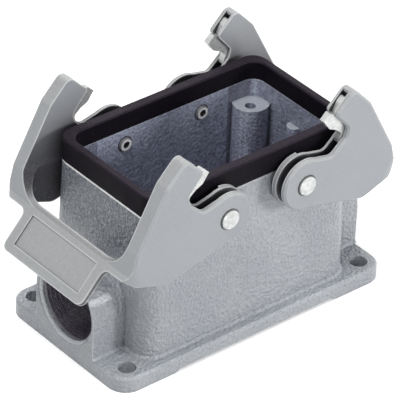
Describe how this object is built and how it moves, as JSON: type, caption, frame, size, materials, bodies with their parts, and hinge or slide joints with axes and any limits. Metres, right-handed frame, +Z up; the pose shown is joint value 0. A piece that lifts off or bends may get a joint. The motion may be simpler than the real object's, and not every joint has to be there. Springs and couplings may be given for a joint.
{
  "type": "heavy duty rectangular connector",
  "caption": "Surface-mounted rectangular connector housing with a side cable entry, a rubber rim seal and two hinged locking levers with steel hooks.",
  "frame": {"origin": "centre of the base flange's underside, on the plane that the housing is screwed to", "axes": "+X along the length, away from the open cable entry; +Z up, out of the open mouth of the housing; +Y across the width"},
  "size_m": [0.1156, 0.0582, 0.0719],
  "materials": {
    "casting": "powder-coated",
    "seal": "matte",
    "lever": "satin",
    "hook": "bright",
    "rivet": "bright"
  },
  "bodies": {
    "housing": {"housing": "casting", "rim_seal": "seal", "left_front_rivet": "rivet", "left_rear_rivet": "rivet", "right_front_rivet": "rivet", "right_rear_rivet": "rivet"},
    "left_lever": {"left_lever": "lever", "left_lever_front_hook": "hook", "left_lever_rear_hook": "hook"},
    "right_lever": {"right_lever": "lever", "right_lever_front_hook": "hook", "right_lever_rear_hook": "hook"}
  },
  "joints": [
    {"name": "left_lever_hinge", "type": "hinge", "parent": "housing", "child": "left_lever", "pos_m": [-0.014, 0, 0.0472], "axis": [0, 1, 0], "range_deg": [-8, 48]},
    {"name": "right_lever_hinge", "type": "hinge", "parent": "housing", "child": "right_lever", "pos_m": [0.014, 0, 0.0472], "axis": [0, -1, 0], "range_deg": [-8, 48]}
  ]
}
